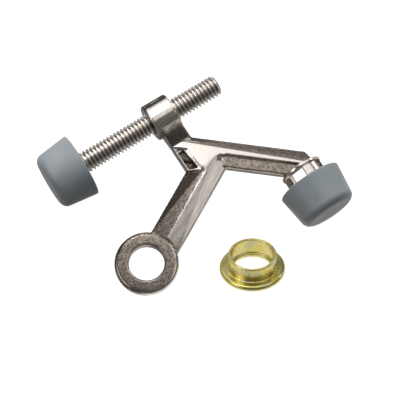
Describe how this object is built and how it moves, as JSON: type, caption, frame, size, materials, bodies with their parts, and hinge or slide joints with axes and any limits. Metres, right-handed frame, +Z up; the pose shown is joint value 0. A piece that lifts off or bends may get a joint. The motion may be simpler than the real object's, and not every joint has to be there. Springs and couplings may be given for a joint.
{
  "type": "hinge pin door stop",
  "caption": "Hinge-pin door stop: an eye and a forked casting, a long adjusting screw with a rubber bumper, a second bumper on the arm, and a loose flanged bushing.",
  "frame": {"origin": "centre of the eye's bore, halfway through the eye's thickness", "axes": "+Z up along the hinge pin, +X along the adjusting screw towards its free end, and the arm's bumper faces -Y"},
  "size_m": [0.0887, 0.0841, 0.0234],
  "materials": {
    "nickel_casting": "satin nickel plate over a zinc die casting, soft cast edges",
    "nickel_screw": "nickel plate over steel, rolled thread",
    "grey_rubber": "smooth moulded grey rubber with a soft sheen",
    "yellow_zinc": "yellow zinc plate over steel, faintly iridescent"
  },
  "bodies": {
    "frame": {"frame_casting": "nickel_casting", "arm_bumper": "grey_rubber"},
    "screw_tip": {"screw_bumper": "grey_rubber"},
    "screw": {"adjusting_screw": "nickel_screw"},
    "bushing": {"adapter_bushing": "yellow_zinc"}
  },
  "joints": [
    {"name": "screw_travel", "type": "slide", "parent": "frame", "child": "screw_tip", "axis": [1, 0, 0], "range_m": [-0.01834, 0.02681]},
    {"name": "screw_turn", "type": "hinge", "parent": "screw_tip", "child": "screw", "pos_m": [0, 0.0427, 0], "axis": [1, 0, 0], "range_deg": [-4680, 6840]},
    {"name": "bushing_lift", "type": "slide", "parent": "frame", "child": "bushing", "axis": [0.2723, 0.4717, 0.8387], "range_m": [0, 0.015]}
  ],
  "couplings": [
    {"joint": "screw_turn", "follows": "screw_travel", "rad_per_m": 4453}
  ]
}
